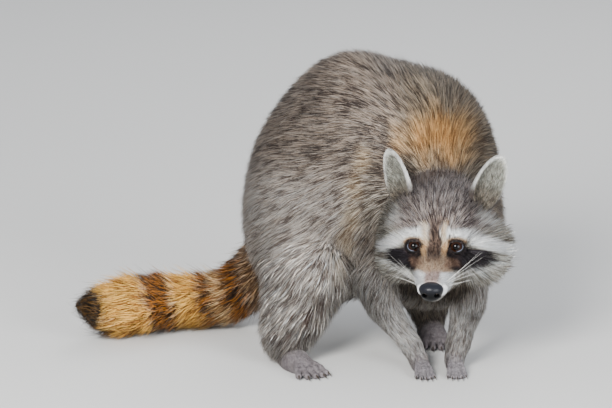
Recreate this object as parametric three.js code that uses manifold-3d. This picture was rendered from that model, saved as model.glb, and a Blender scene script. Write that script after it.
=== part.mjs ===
// A raccoon (Procyon lotor), adult, life size, standing hunched with the head low and turned to the viewer.
// Millimetres, +Z up. The face looks along -Y, +X is on the animal's left, and the rump and the ringed tail
// lie towards -X. The surface is the outline of the coat, out to the tips of the hair.
import * as THREE from "three";
import { mergeVertices } from "three/addons/utils/BufferGeometryUtils.js";
import Module from "manifold-3d";

const wasm = await Module();
wasm.setup();

// ---- Driving dimensions ------------------------------------------------------------------------------
// The frame used below has its origin on the floor between the forefeet. The group is moved at the end, so
// that the part's own origin is at the middle of its footprint.
const CUT = 0.5; // gap between neighbouring pieces

const EYE_MIDDLE = [-7, -56, 147]; // point between the eyes, from which the head is measured
const HEAD_YAW = 6; // degrees that the face turns to the animal's right
const HEAD_ROLL = -0.6; // degrees that the left cheek is lower
const HEAD_PITCH = 0; // degrees that the muzzle points down
const EYE_SPACING = 43; // between the centres of the eyes
const EYE_RADIUS = 8.2;
const EYE_DEPTH = -1.2; // centre of the eye behind the point between the eyes

const TRUNK_CELL = 25; // lattice size of each surface, so its fineness
const FORELEG_CELL = 12.5;
const HINDLEG_CELL = 18;
const HEAD_CELL = 12.5;
const TAIL_CELL = 18;

// ---- Small vector helpers on plain arrays -------------------------------------------------------------
const add = (a, b) => [a[0] + b[0], a[1] + b[1], a[2] + b[2]];
const sub = (a, b) => [a[0] - b[0], a[1] - b[1], a[2] - b[2]];
const scaled = (a, s) => [a[0] * s, a[1] * s, a[2] * s];
const dot = (a, b) => a[0] * b[0] + a[1] * b[1] + a[2] * b[2];
const length = (a) => Math.sqrt(dot(a, a));
const mix = (a, b, t) => a.map((v, i) => v + (b[i] - v) * t);
const radians = THREE.MathUtils.degToRad;

// ---- Distance fields: negative inside, in millimetres --------------------------------------------------
function smoothMin(a, b, blend) {
  const near = Math.max(blend - Math.abs(a - b), 0) / blend;
  return Math.min(a, b) - (near * near * blend) / 4;
}

// A cone with round ends, from a to b.
function roundCone(a, b, radiusA, radiusB) {
  const axis = sub(b, a);
  const squared = dot(axis, axis);
  return (p) => {
    const t = THREE.MathUtils.clamp(dot(sub(p, a), axis) / squared, 0, 1);
    return length(sub(p, mix(a, b, t))) - (radiusA + (radiusB - radiusA) * t);
  };
}

// An ellipsoid with half sizes along its heading, across it and up. heading is degrees from -Y towards +X,
// pitch is degrees that its front points up.
function ellipsoid(centre, [along, across, up], heading = 0, pitch = 0) {
  const forward = new THREE.Vector3(0, -1, 0)
    .applyAxisAngle(new THREE.Vector3(-1, 0, 0), radians(pitch))
    .applyAxisAngle(new THREE.Vector3(0, 0, 1), radians(heading));
  const side = new THREE.Vector3(1, 0, 0).applyAxisAngle(new THREE.Vector3(0, 0, 1), radians(heading));
  const top = new THREE.Vector3().crossVectors(side, forward).negate();
  const axes = [forward.toArray(), side.toArray(), top.toArray()];
  const half = [along, across, up];
  return (p) => {
    const d = sub(p, centre);
    const local = axes.map((axis, i) => dot(d, axis) / half[i]);
    const k0 = length(local);
    const k1 = length(local.map((v, i) => v / half[i]));
    return k1 < 1e-9 ? -Math.min(...half) : (k0 * (k0 - 1)) / k1;
  };
}

const blended = (blend, ...fields) => (p) => fields.map((f) => f(p)).reduce((a, b) => smoothMin(a, b, blend));
const union = (...fields) => (p) => Math.min(...fields.map((f) => f(p)));

// A chain of round cones through joints, each [x, y, z, radius].
function limb(...joints) {
  const bones = joints.slice(1).map((end, i) => {
    const start = joints[i];
    return roundCone(start.slice(0, 3), end.slice(0, 3), start[3], end[3]);
  });
  return blended(8, ...bones);
}

// ---- Surface of a field --------------------------------------------------------------------------------
function gradient(field, p) {
  const step = 0.05;
  const slope = [0, 1, 2].map((i) => {
    const shift = [0, 0, 0];
    shift[i] = step;
    return (field(add(p, shift)) - field(sub(p, shift))) / (2 * step);
  });
  return slope;
}

// Walks a point towards the surface where the field is zero, by no more than reach, so that neighbours
// never pass each other.
function onSurface(field, p, reach) {
  let q = p;
  for (let i = 0; i < 4; i++) {
    const slope = gradient(field, q);
    q = sub(q, scaled(slope, field(q) / Math.max(dot(slope, slope), 0.2)));
  }
  const walk = sub(q, p);
  return add(p, scaled(walk, Math.min(1, reach / Math.max(length(walk), 1e-6))));
}

// The closed surface where field is zero, with one vertex in each lattice cell that it crosses.
// low and high are corners of a box, whose sides close whatever runs out through them.
function surfaceNet(wholeField, low, high, cell) {
  const inset = 1.5 * cell;
  const field = (p) =>
    Math.max(wholeField(p), ...p.map((v, i) => Math.max(low[i] + inset - v, v - high[i] + inset)));
  const count = low.map((v, i) => Math.ceil((high[i] - v) / cell) + 1);
  const at = (i, j, k) => (k * count[1] + j) * count[0] + i;
  const place = (i, j, k) => [low[0] + i * cell, low[1] + j * cell, low[2] + k * cell];
  const value = new Float64Array(count[0] * count[1] * count[2]);
  for (let k = 0; k < count[2]; k++)
    for (let j = 0; j < count[1]; j++)
      for (let i = 0; i < count[0]; i++) value[at(i, j, k)] = field(place(i, j, k));

  const corners = [0, 1, 2, 3, 4, 5, 6, 7].map((c) => [c & 1, (c >> 1) & 1, c >> 2]);
  const edges = corners.flatMap((a, i) =>
    corners.map((b, j) => [i, j, Math.abs(a[0] - b[0]) + Math.abs(a[1] - b[1]) + Math.abs(a[2] - b[2])]),
  ).filter(([i, j, apart]) => i < j && apart === 1);
  const vertexOf = new Map();
  const positions = [];
  for (let k = 0; k < count[2] - 1; k++)
    for (let j = 0; j < count[1] - 1; j++)
      for (let i = 0; i < count[0] - 1; i++) {
        const values = corners.map(([x, y, z]) => value[at(i + x, j + y, k + z)]);
        const crossings = edges
          .filter(([a, b]) => values[a] < 0 !== values[b] < 0)
          .map(([a, b]) => mix(corners[a], corners[b], values[a] / (values[a] - values[b])));
        if (!crossings.length) continue;
        const middle = scaled(crossings.reduce(add), 1 / crossings.length);
        const start = add(place(i, j, k), scaled(middle, cell));
        vertexOf.set(at(i, j, k), positions.length / 3);
        positions.push(...onSurface(field, start, cell / 4));
      }

  const faces = [];
  for (let k = 1; k < count[2] - 1; k++)
    for (let j = 1; j < count[1] - 1; j++)
      for (let i = 1; i < count[0] - 1; i++)
        [0, 1, 2].forEach((axis) => {
          const near = [i, j, k];
          const far = near.map((v, n) => v + (n === axis ? 1 : 0));
          const inside = value[at(...near)] < 0;
          if (inside === value[at(...far)] < 0) return;
          const u = (axis + 1) % 3;
          const v = (axis + 2) % 3;
          const ring = [[1, 1], [0, 1], [0, 0], [1, 0]].map(([du, dv]) => {
            const c = [...near];
            c[u] -= du;
            c[v] -= dv;
            return vertexOf.get(at(...c));
          });
          if (!inside) ring.reverse();
          faces.push(ring[0], ring[1], ring[2], ring[0], ring[2], ring[3]);
        });
  const geometry = new THREE.BufferGeometry();
  geometry.setAttribute("position", new THREE.Float32BufferAttribute(positions, 3));
  geometry.setIndex(faces);
  return geometry;
}

// ---- Solids ----------------------------------------------------------------------------------------------
function solidOf(geometry) {
  const bare = geometry.clone();
  bare.deleteAttribute("normal");
  bare.deleteAttribute("uv");
  const merged = mergeVertices(bare, 1e-4);
  const made = new wasm.Manifold(
    new wasm.Mesh({
      numProp: 3,
      vertProperties: merged.attributes.position.array,
      triVerts: new Uint32Array(merged.index.array),
    }),
  );
  return made;
}

// The same solid with every vertex moved out along the field's slope.
function grown(geometry, field, by = CUT) {
  const swollen = geometry.clone();
  const place = swollen.attributes.position;
  for (let i = 0; i < place.count; i++) {
    const p = [place.getX(i), place.getY(i), place.getZ(i)];
    const slope = gradient(field, p);
    place.setXYZ(i, ...add(p, scaled(slope, by / length(slope))));
  }
  return solidOf(swollen);
}

// A box whose first face is centred on face and which reaches along toward.
function block(face, toward, reach, halfWidth, halfHeight, grow = 0) {
  const geometry = new THREE.BoxGeometry(2 * (halfWidth + grow), 2 * (halfHeight + grow), reach + 2 * grow);
  geometry.translate(0, 0, reach / 2);
  const turn = new THREE.Quaternion().setFromUnitVectors(
    new THREE.Vector3(0, 0, 1),
    new THREE.Vector3(...toward).normalize(),
  );
  geometry.applyQuaternion(turn).translate(...face);
  return solidOf(geometry);
}

// A thin plate that parts what it crosses.
const thinCut = (middle, across, half) =>
  block(sub(middle, scaled(across, CUT / 2 / length(across))), across, CUT, half, half);

// Cuts away whatever is below the floor, which leaves small flats to stand on.
const ground = block([0, 0, 0], [0, 0, -1], 100, 600, 600);
const aboveGround = (solid) => solid.subtract(ground);

// A closed tube with round tapering ends through stations, each [x, y, z, radius].
function taperedTube(stations, sides) {
  const curve = stations.map((s) => new THREE.Vector3(...s));
  const positions = [...curve[0].toArray()];
  const faces = [];
  const ringStart = (n) => 1 + n * sides;
  curve.slice(1, -1).forEach((p, n) => {
    const forward = curve[n + 2].clone().sub(curve[n]).normalize();
    const side = new THREE.Vector3(0, 0, 1).cross(forward).normalize();
    const top = forward.clone().cross(side);
    for (let s = 0; s < sides; s++) {
      const angle = (2 * Math.PI * s) / sides;
      const r = stations[n + 1][3];
      positions.push(
        ...p.clone().addScaledVector(side, r * Math.cos(angle)).addScaledVector(top, r * Math.sin(angle)).toArray(),
      );
    }
  });
  positions.push(...curve.at(-1).toArray());
  const last = positions.length / 3 - 1;
  const rings = stations.length - 2;
  for (let s = 0; s < sides; s++) {
    const next = (s + 1) % sides;
    faces.push(0, ringStart(0) + next, ringStart(0) + s);
    for (let n = 0; n < rings - 1; n++) {
      const [a, b] = [ringStart(n), ringStart(n + 1)];
      faces.push(a + s, a + next, b + next, a + s, b + next, b + s);
    }
    faces.push(ringStart(rings - 1) + s, ringStart(rings - 1) + next, last);
  }
  const geometry = new THREE.BufferGeometry();
  geometry.setAttribute("position", new THREE.Float32BufferAttribute(positions, 3));
  geometry.setIndex(faces);
  const made = solidOf(geometry);
  if (made.volume() > 0) return made;
  geometry.setIndex(faces.reverse());
  return solidOf(geometry);
}

// The largest piece of a solid: a boolean can leave crumbs where two surfaces nearly touch.
const largest = (solid) => solid.decompose().sort((a, b) => b.volume() - a.volume())[0];

// ---- Materials ---------------------------------------------------------------------------------------------
const finish = (color, roughness) => new THREE.MeshStandardMaterial({ color, roughness, metalness: 0 });
const FUR_GREY = finish(0x8b8071, 0.9);
const FUR_FACE = finish(0x9a9184, 0.9);
const FUR_TAIL = finish(0xa27b4c, 0.9);
const FUR_EAR = finish(0xc9c6bb, 0.9);
const PAW_SKIN = finish(0x4a4243, 0.75);
const NOSE_SKIN = finish(0x17171b, 0.35);
const EYE_BROWN = finish(0x1c0f08, 0.1);
const CLAW_HORN = finish(0x2e2724, 0.45);

const model = new THREE.Group();
function place(name, solid, material) {
  const { vertProperties, triVerts, numProp } = solid.getMesh();
  const positions = new Float32Array((vertProperties.length / numProp) * 3);
  for (let i = 0; i < positions.length / 3; i++)
    positions.set(vertProperties.subarray(i * numProp, i * numProp + 3), i * 3);
  const geometry = new THREE.BufferGeometry();
  geometry.setAttribute("position", new THREE.BufferAttribute(positions, 3));
  geometry.setIndex(new THREE.BufferAttribute(new Uint32Array(triVerts), 1));
  const mesh = new THREE.Mesh(geometry, material);
  mesh.name = name;
  model.add(mesh);
  return mesh;
}

// ---- Trunk, neck and head: one smooth form -------------------------------------------------------------------
// The spine bends from the pelvis, whose side is to the viewer, round to the shoulders, which face the viewer.
const trunkField = blended(
  30,
  ellipsoid([-136, 106, 150], [66, 88, 112], 62), // rump
  ellipsoid([-88, 108, 183], [93, 104, 134], 62), // loin, the top of the arched back
  ellipsoid([-22, 104, 174], [82, 96, 127], 42), // ribs
  ellipsoid([-4, 68, 130], [64, 72, 84], 8), // shoulders
);
const neckField = roundCone([-6, 64, 146], [-2, -8, 150], 62, 50);

const headTurn = new THREE.Matrix4()
  .makeRotationZ(radians(-HEAD_YAW))
  .multiply(new THREE.Matrix4().makeRotationX(radians(HEAD_PITCH)))
  .multiply(new THREE.Matrix4().makeRotationY(radians(HEAD_ROLL)))
  .setPosition(...EYE_MIDDLE);
const headInverse = headTurn.clone().invert();
const inHead = (p) => new THREE.Vector3(...p).applyMatrix4(headInverse).toArray();
const fromHead = (p) => new THREE.Vector3(...p).applyMatrix4(headTurn).toArray();
const bothSides = (make) => [-1, 1].map(make);

const skullField = blended(
  15,
  ellipsoid([0, 44, 12], [54, 52, 50]), // cranium
  ellipsoid([-29, 32, -5], [40, 35, 31]), // right cheek and its ruff
  ellipsoid([-38, 36, -24], [30, 30, 28]),
  ellipsoid([36, 36, -3], [43, 46, 32]), // left cheek, whose ruff is spread by the turned neck
  ellipsoid([44, 40, -24], [34, 34, 32]),
  roundCone([0, 32, -8], [0, -24, -24], 30, 17), // face
  roundCone([0, -18, -23], [0, -49, -33], 18.5, 11.5), // muzzle
  roundCone([0, 16, -36], [0, -36, -43], 21, 8), // lower jaw
);
const browField = union(...bothSides((side) => ellipsoid([side * 23, 6, 14], [9, 15, 6.5])));
const orbitField = union(...bothSides((side) => roundCone([side * 26, -14, 0], [side * 44, -10, -4], 8, 6)));
const headField = (p) => {
  const q = inHead(p);
  return -smoothMin(-smoothMin(skullField(q), browField(q), 8), orbitField(q), 8);
};
const bodyField = blended(18, blended(26, trunkField, neckField), headField);

const BODY_LOW = [-250, -160, -10];
const BODY_HIGH = [130, 270, 345];
const body = surfaceNet(bodyField, BODY_LOW, BODY_HIGH, TRUNK_CELL);
const bodySolid = solidOf(body);

const headSkin = surfaceNet(bodyField, [-112, -142, 48], [118, 70, 255], HEAD_CELL);
// What the pieces made so far fill, with the gap around it. Every later piece is trimmed by it.
let taken = grown(body, bodyField).add(grown(headSkin, bodyField));

// Egg-shaped zones around the head, measured from the point between the eyes: the inner one holds the head,
// and the neck reaches from it to the outer one.
const HEAD_ZONE = { middle: [5, -16, 2], half: [97, 84, 82] };
const NECK_ZONE = { middle: [5, -2, 4], half: [114, 106, 102] };
function zone({ middle, half }, gap = 0) {
  const egg = new THREE.SphereGeometry(1, 16, 10).scale(...half.map((size) => size + gap));
  return solidOf(egg.translate(...middle).applyMatrix4(headTurn));
}

const headWhole = solidOf(headSkin).intersect(zone(HEAD_ZONE));
const neck = bodySolid.intersect(zone(NECK_ZONE)).subtract(zone(HEAD_ZONE, CUT));
const trunk = bodySolid.subtract(zone(NECK_ZONE, CUT));

// ---- Eyes and nose -------------------------------------------------------------------------------------------
function ball(centre, half, grow = 0) {
  const geometry = new THREE.SphereGeometry(1, 10, 7);
  geometry.scale(half[0] + grow, half[1] + grow, half[2] + grow);
  return solidOf(geometry.translate(...centre).applyMatrix4(headTurn));
}
const eyeCentre = (side) => [(side * EYE_SPACING) / 2, EYE_DEPTH, 0];
const eye = (side, grow) => ball(eyeCentre(side), [EYE_RADIUS, EYE_RADIUS, EYE_RADIUS], grow);
const lidOpening = (side) => ball(add(eyeCentre(side), [side * 1, -8, 0]), [8, 7, 7.2]);

const NOSE_CENTRE = [0, -55, -33];
const noseField = (p) => {
  const q = sub(inHead(p), NOSE_CENTRE);
  return blended(4, ellipsoid([0, 0, 2], [9, 11.5, 8]), ellipsoid([0, 0, -4], [8, 8, 7]))(q);
};
const noseMiddle = fromHead(NOSE_CENTRE);
const noseGeometry = surfaceNet(noseField, sub(noseMiddle, [18, 16, 16]), add(noseMiddle, [18, 16, 16]), 4.4);
const nose = solidOf(noseGeometry);

const head = headWhole
  .subtract(eye(-1, CUT).add(lidOpening(-1)))
  .subtract(eye(1, CUT).add(lidOpening(1)))
  .subtract(grown(noseGeometry, noseField));
place("head", largest(head), FUR_FACE);
place("neck", largest(neck), FUR_GREY);
place("trunk", largest(trunk), FUR_GREY);
place("nose", nose, NOSE_SKIN);
place("eye_right", eye(-1), EYE_BROWN);
place("eye_left", eye(1), EYE_BROWN);

// ---- Ears ------------------------------------------------------------------------------------------------------
// Each ear is widest a little above its base. The head turns to its right, so the ears aren't a mirrored pair.
// root is the length below that place, as a share of the length above it.
const EAR = { width: 37, thickness: 15, wall: 3.8, widest: 0.27, root: 0.6, cupStart: 9 };

// facing is degrees that the cup opens away from straight ahead.
function ear(base, tip, facing) {
  const reach = length(sub(tip, base)) * (1 - EAR.widest);
  const shell = new THREE.SphereGeometry(1, 12, 8).scale(EAR.width / 2, EAR.thickness / 2, reach);
  const places = shell.attributes.position;
  for (let n = 0; n < places.count; n++) {
    if (places.getZ(n) < 0) places.setZ(n, places.getZ(n) * EAR.root);
  }
  const cup = new THREE.SphereGeometry(1, 10, 7)
    .scale(EAR.width / 2 - EAR.wall, EAR.thickness / 2, reach - EAR.cupStart - EAR.wall)
    .translate(0, -EAR.wall, EAR.cupStart);
  const stand = new THREE.Matrix4()
    .makeRotationFromQuaternion(
      new THREE.Quaternion().setFromUnitVectors(
        new THREE.Vector3(0, 0, 1),
        new THREE.Vector3(...sub(tip, base)).normalize(),
      ),
    )
    .multiply(new THREE.Matrix4().makeRotationZ(radians(facing)))
    .setPosition(...mix(base, tip, EAR.widest));
  const [outer, inner] = [shell, cup].map((g) => solidOf(g.applyMatrix4(stand).applyMatrix4(headTurn)));
  return outer.subtract(inner).subtract(taken);
}
place("ear_right", largest(ear([-35, 36, 36], [-52, 46, 91], -42)), FUR_EAR);
place("ear_left", largest(ear([43, 36, 35], [66, 46, 86], 30)), FUR_EAR);

// ---- Legs --------------------------------------------------------------------------------------------------------
const DIGIT_SPREAD = [-1, -0.48, 0, 0.46, 0.95]; // share of the fan's half angle, first digit to fifth
const DIGIT_REACH = [0.74, 0.95, 1, 0.96, 0.78]; // share of the longest digit

// A foot flat on the floor. heading is degrees from -Y towards +X.
function digits(foot) {
  const across = radians(foot.heading);
  return DIGIT_SPREAD.map((share, n) => {
    const angle = across + radians(share * foot.fan) * foot.side;
    const ahead = [Math.sin(angle), -Math.cos(angle), 0];
    const sideways = [Math.cos(across), Math.sin(across), 0];
    const root = add(foot.ball, scaled(sideways, share * foot.side * foot.width * 0.34));
    const reach = foot.digit * DIGIT_REACH[n];
    const station = (t, height, r) => [...add(root, scaled(ahead, reach * t)).slice(0, 2), height, r];
    const thick = foot.thick;
    const toe = taperedTube(
      [
        station(-0.35, thick * 1.1, 0),
        station(-0.2, thick * 1.3, thick * 0.92),
        station(0.5, thick * 1.45, thick * 0.98),
        station(0.96, thick * 0.86, thick * 0.7),
        station(1.05, thick * 0.75, 0),
      ],
      5,
    );
    const claw = taperedTube(
      [
        station(1.0, thick * 1.05, 0),
        station(1.02, thick * 1.08, thick * 0.3),
        station(1.3, thick * 0.9, thick * 0.25),
        station(1.55, thick * 0.22, 0),
      ],
      4,
    );
    return { toe, claw };
  });
}

// joints run from the shoulder or hip to the wrist or heel. cuts are where the upper part, the lower part
// and the foot are parted.
function leg(name, joints, foot, middleCut, footCut, low, high, cell) {
  const legField = limb(...joints);
  const palmField = ellipsoid(foot.palm, [foot.length / 2, foot.width / 2, foot.height], foot.heading);
  const wholeField = blended(14, legField, palmField);
  const geometry = surfaceNet(wholeField, low, high, cell);
  const free = aboveGround(solidOf(geometry)).subtract(taken);
  const footZone = (grow) => block(footCut.at, footCut.toward, 140, 42, 42, grow);
  const pieces = free
    .subtract(footZone(CUT))
    .subtract(thinCut(middleCut.at, middleCut.toward, 75))
    .decompose()
    .sort((a, b) => b.volume() - a.volume())
    .slice(0, 2)
    .sort((a, b) => b.boundingBox().max[2] - a.boundingBox().max[2]);
  place(`${name}_upper`, pieces[0], FUR_GREY);
  place(`${name}_lower`, pieces[1], FUR_GREY);
  const fine = aboveGround(solidOf(surfaceNet(wholeField, low, [high[0], high[1], foot.top], foot.cell)));
  const grownDigits = digits(foot);
  let paw = largest(fine.intersect(footZone(0)).subtract(taken));
  grownDigits.forEach(({ toe }) => (paw = paw.add(toe)));
  grownDigits.forEach(({ claw }, n) => {
    place(`${name}_claw_${n + 1}`, largest(claw.subtract(paw)), CLAW_HORN);
  });
  place(`${name}_foot`, largest(paw), PAW_SKIN);
  taken = taken.add(grown(geometry, wholeField));
}

const FORE = { length: 30, width: 17, height: 12, digit: 25, thick: 3, fan: 11, top: 65, cell: 9 };
const HIND = { length: 62, width: 30, height: 15, digit: 24, thick: 4.6, fan: 20, top: 80, cell: 13.5 };
const footAt = (kind, side, heading, palm) => {
  const angle = radians(heading);
  const ball = add(palm, scaled([Math.sin(angle), -Math.cos(angle), 0], kind.length * 0.36));
  return { ...kind, side, heading, palm, ball };
};

leg(
  "foreleg_right",
  [[-46, 62, 128, 46], [-64, 46, 86, 30], [-59, 34, 60, 18.5], [-30, 10, 24, 10.5], [-23, 2, 12, 10]],
  footAt(FORE, 1, 8, [-20, -6, 5]),
  { at: [-60, 40, 76], toward: [0.3, -0.3, -0.9] },
  { at: [-26, 10, 26], toward: [0.5, -0.45, -0.75] },
  [-115, -60, -30],
  [30, 125, 190],
  FORELEG_CELL,
);
leg(
  "foreleg_left",
  [[20, 70, 128, 38], [28, 50, 86, 25], [30, 38, 62, 19.5], [19, 13, 24, 12], [15, 5, 12, 10.5]],
  footAt(FORE, -1, 3, [15, -3, 5]),
  { at: [45, 44, 76], toward: [-0.25, -0.3, -0.92] },
  { at: [20, 14, 26], toward: [-0.35, -0.45, -0.8] },
  [-30, -60, -30],
  [105, 125, 190],
  FORELEG_CELL,
);
leg(
  "hindleg_right",
  [[-142, 82, 128, 62], [-138, 48, 92, 52], [-150, 36, 55, 40], [-159, 30, 28, 31], [-158, 26, 14, 16]],
  footAt(HIND, 1, 26, [-149, 4, 5]),
  { at: [-140, 42, 78], toward: [-0.2, -0.1, -0.97] },
  { at: [-164, 32, 24], toward: [0.35, -0.55, -0.7] },
  [-225, -60, -30],
  [-60, 160, 205],
  HINDLEG_CELL,
);
leg(
  "hindleg_left",
  [[-80, 150, 118, 56], [-38, 140, 88, 45], [-12, 142, 55, 35], [-9, 143, 28, 24], [-8, 136, 14, 15]],
  footAt(HIND, -1, 10, [-5, 117, 5]),
  { at: [-36, 140, 80], toward: [0.5, 0, -0.86] },
  { at: [-13, 144, 26], toward: [0.1, -0.6, -0.75] },
  [-150, 60, -30],
  [60, 225, 190],
  HINDLEG_CELL,
);

// ---- Tail ----------------------------------------------------------------------------------------------------------
const tailField = limb(
  [-147, 138, 126, 38],
  [-168, 152, 90, 36],
  [-194, 162, 54, 33],
  [-230, 166, 30, 32],
  [-266, 164, 29.5, 32],
  [-303, 146, 31, 34.5],
  [-333, 125, 32.5, 37],
  [-354, 112, 36, 28],
  [-376, 101, 41, 8],
);
const tailGeometry = surfaceNet(tailField, [-412, 40, -30], [-80, 230, 200], TAIL_CELL);
const tail = aboveGround(solidOf(tailGeometry)).subtract(taken);
const tailPieces = tail
  .subtract(thinCut([-266, 164, 30], [-0.95, -0.3, 0], 60))
  .decompose()
  .sort((a, b) => b.volume() - a.volume())
  .slice(0, 2)
  .sort((a, b) => b.boundingBox().max[0] - a.boundingBox().max[0]);
place("tail_base", tailPieces[0], FUR_TAIL);
place("tail_end", tailPieces[1], FUR_TAIL);

// ---- The part's own frame: the middle of its footprint on the floor ---------------------------------------------------
const extent = new THREE.Box3().setFromObject(model);
const middle = extent.getCenter(new THREE.Vector3());
model.position.set(-middle.x, -middle.y, -extent.min.z);

export default model;
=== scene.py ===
"""A life-size raccoon, standing hunched with its head low and its ringed tail laid on the floor.

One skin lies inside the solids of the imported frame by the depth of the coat, and solid tufts of hair run
from it out to the frame's outline. Lengths are in millimetres, measured from the floor between the
forefeet, unless a name ends in _M. The face looks along -Y and +X is on the animal's left.
"""
import math

import bpy
import numpy as np
from mathutils import Matrix, Vector, kdtree


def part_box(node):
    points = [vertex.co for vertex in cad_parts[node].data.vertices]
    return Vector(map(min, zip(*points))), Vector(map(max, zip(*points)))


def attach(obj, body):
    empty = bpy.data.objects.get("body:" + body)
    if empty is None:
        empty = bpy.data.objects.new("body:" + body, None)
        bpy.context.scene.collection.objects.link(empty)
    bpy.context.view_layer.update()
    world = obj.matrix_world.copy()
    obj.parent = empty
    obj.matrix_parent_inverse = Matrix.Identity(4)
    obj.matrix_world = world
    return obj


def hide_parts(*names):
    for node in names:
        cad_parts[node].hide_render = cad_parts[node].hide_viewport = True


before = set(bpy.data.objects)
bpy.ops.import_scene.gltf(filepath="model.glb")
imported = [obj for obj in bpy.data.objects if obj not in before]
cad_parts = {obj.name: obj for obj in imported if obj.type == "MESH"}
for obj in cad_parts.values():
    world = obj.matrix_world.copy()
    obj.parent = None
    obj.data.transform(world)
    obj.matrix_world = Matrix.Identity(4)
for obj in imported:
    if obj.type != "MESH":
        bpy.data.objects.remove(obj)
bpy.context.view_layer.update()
MM = 0.001

# ---- The head's own frame, placed by the frame's eyes --------------------------------------------------
EYES_MIDDLE = np.array([-7.0, -56.0, 147.0])
HEAD_TURN = np.array(
    Matrix.Rotation(math.radians(-6), 3, "Z") @ Matrix.Rotation(math.radians(-0.6), 3, "Y")
)
EYE_SPACING = 43.0
EYE_RADIUS = 8.2
EYE_DEPTH = -1.2


def node_middle_m(node):
    low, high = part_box(node)
    return np.array((low + high) / 2)


def from_head(points):
    """Points measured from between the eyes, in the body's millimetres."""
    return np.asarray(points, float) @ HEAD_TURN.T + EYES_MIDDLE


def to_head(points):
    return (points - EYES_MIDDLE) @ HEAD_TURN


ORIGIN_M = (node_middle_m("eye_right") + node_middle_m("eye_left")) / 2 - from_head([0, EYE_DEPTH, 0]) * MM


def to_frame_m(points):
    """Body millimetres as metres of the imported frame."""
    return np.asarray(points, float) * MM + ORIGIN_M


# ---- Forms of the body: each has the radius of the coat's outline and the depth of the coat ------------
# Ellipsoids: centre, half sizes along its heading, across and up, heading in degrees from -Y towards +X.
TRUNK = [
    ((-136, 106, 150), (66, 88, 112), 62),
    ((-88, 108, 183), (93, 104, 134), 62),
    ((-22, 104, 174), (82, 96, 127), 42),
    ((-4, 68, 130), (64, 72, 84), 8),
]
TRUNK_COAT = 12
NECK = [(-6, 64, 146, 62, 12), (-2, -8, 150, 50, 11)]
# Head forms are measured from between the eyes. The last number is the coat's depth.
SKULL = [
    ((0, 44, 12), (54, 52, 50), 7),
    ((-29, 32, -5), (40, 35, 31), 10),
    ((36, 36, -3), (43, 46, 32), 14),
    ((-38, 36, -24), (30, 30, 28), 10),
    ((44, 40, -24), (34, 34, 32), 14),
]
FACE = [(0, 32, -8, 30, 5), (0, -24, -24, 17, 2.2)]
MUZZLE = [(0, -18, -23, 18.5, 2.5), (0, -49, -33, 11.5, 1.4)]
JAW = [(0, 16, -36, 21, 6), (0, -32, -40, 7.5, 1.6)]
# Chains of round cones: x, y, z, radius of the coat's outline, depth of the coat.
FORELEG_RIGHT = [
    (-46, 62, 128, 46, 12), (-64, 46, 86, 30, 8), (-59, 34, 60, 18.5, 4.5), (-30, 10, 24, 10.5, 2),
    (-23, 2, 12, 10, 1.2),
]
FORELEG_LEFT = [
    (20, 70, 128, 38, 10), (28, 50, 86, 25, 7), (30, 38, 62, 19.5, 4.5), (19, 13, 24, 12, 2),
    (15, 5, 12, 10.5, 1.2),
]
HINDLEG_RIGHT = [
    (-142, 82, 128, 62, 14), (-138, 48, 92, 52, 14), (-150, 36, 55, 40, 13), (-159, 30, 28, 31, 12),
    (-158, 26, 14, 16, 4),
]
HINDLEG_LEFT = [
    (-80, 150, 118, 56, 12), (-38, 140, 88, 45, 12), (-12, 142, 55, 35, 13), (-9, 143, 28, 24, 8),
    (-8, 136, 14, 15, 3),
]
TAIL = [
    (-147, 138, 126, 38, 16), (-168, 152, 90, 36, 18), (-194, 162, 54, 33, 18), (-230, 166, 30, 32, 18),
    (-266, 164, 29.5, 32, 18), (-303, 146, 31, 34.5, 20), (-333, 125, 32.5, 37, 23), (-354, 112, 36, 28, 20),
    (-376, 101, 41, 8, 5),
]
# Feet: middle of the palm, heading, which side the first toe is on, and the sizes of the kind of foot.
# knuckle is the height of the toes' roots as a share of their thickness.
FORE = {"length": 30, "width": 17, "height": 12, "digit": 25, "thick": 3, "fan": 11, "knuckle": 3.6}
HIND = {"length": 62, "width": 30, "height": 15, "digit": 24, "thick": 4.6, "fan": 20, "knuckle": 2.1}
FEET = {
    "foreleg_right": (FORE, (-20, -6, 5), 8, 1),
    "foreleg_left": (FORE, (15, -3, 5), 3, -1),
    "hindleg_right": (HIND, (-149, 4, 5), 26, 1),
    "hindleg_left": (HIND, (-5, 117, 5), 10, -1),
}
LEGS = {
    "foreleg_right": FORELEG_RIGHT,
    "foreleg_left": FORELEG_LEFT,
    "hindleg_right": HINDLEG_RIGHT,
    "hindleg_left": HINDLEG_LEFT,
}
FOOT_COAT = 0.7
DIGIT_SPREAD = (-1, -0.48, 0, 0.46, 0.95)
DIGIT_REACH = (0.74, 0.95, 1, 0.96, 0.78)
# Ears: base and tip from between the eyes, and how far each cup turns outward. -1 is the animal's right.
EAR_BASE = {-1: np.array([-35.0, 36.0, 36.0]), 1: np.array([43.0, 36.0, 35.0])}
EAR_TIP = {-1: np.array([-52.0, 46.0, 91.0]), 1: np.array([66.0, 46.0, 86.0])}
EAR_WIDTH, EAR_THICKNESS, EAR_WALL = 37.0, 15.0, 3.4
EAR_MIDDLE = 0.27  # the widest place, as a share of the way from base to tip
EAR_ROOT = 0.6  # length below the widest place, as a share of the length above it
EAR_FACING = {-1: 42, 1: 30}
SIDES = (-1, 1)
SIDE_NAME = {-1: "right", 1: "left"}


# ---- Distance fields on arrays of points, negative inside ----------------------------------------------
def smooth_min(a, b, blend):
    """Union with a fillet. blend may be one number or one for each point."""
    near = np.maximum(blend - np.abs(a - b), 0) / blend
    return np.minimum(a, b) - near * near * blend / 4


def blended(blend, *fields):
    total = fields[0]
    for field in fields[1:]:
        total = smooth_min(total, field, blend)
    return total


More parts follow.
